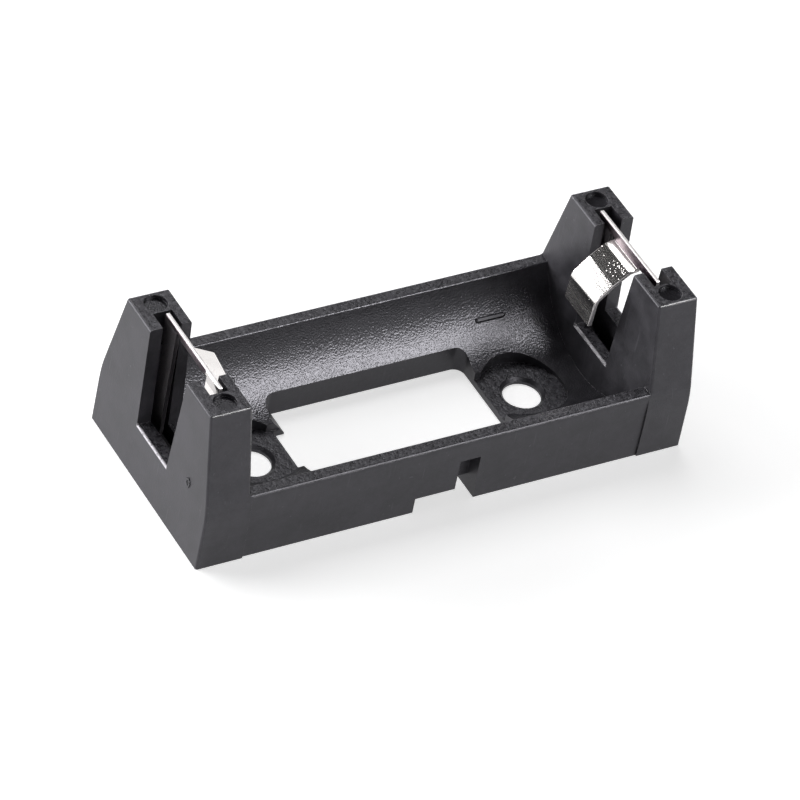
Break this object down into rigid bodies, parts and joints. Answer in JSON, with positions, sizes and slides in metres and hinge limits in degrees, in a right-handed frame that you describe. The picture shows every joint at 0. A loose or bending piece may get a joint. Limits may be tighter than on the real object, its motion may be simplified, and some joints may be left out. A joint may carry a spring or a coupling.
{
  "type": "pcb battery holder",
  "caption": "Moulded trough that holds a short cylindrical cell on a circuit board, with a sprung metal contact in the slot of each end block and screw holes in the floor.",
  "frame": {"origin": "on the circuit board's face, midway between the two screw holes", "axes": "+X along the cell towards the negative contact, +Y across the trough away from the side with the notch, +Z away from the board"},
  "size_m": [0.048, 0.02, 0.0189],
  "materials": {
    "black_plastic": "satin black moulding, spark-textured in the trough",
    "nickel_plate": "bright nickel plate on spring steel"
  },
  "bodies": {
    "root": {"housing": "black_plastic", "positive_contact": "nickel_plate", "negative_contact": "nickel_plate"}
  },
  "joints": []
}
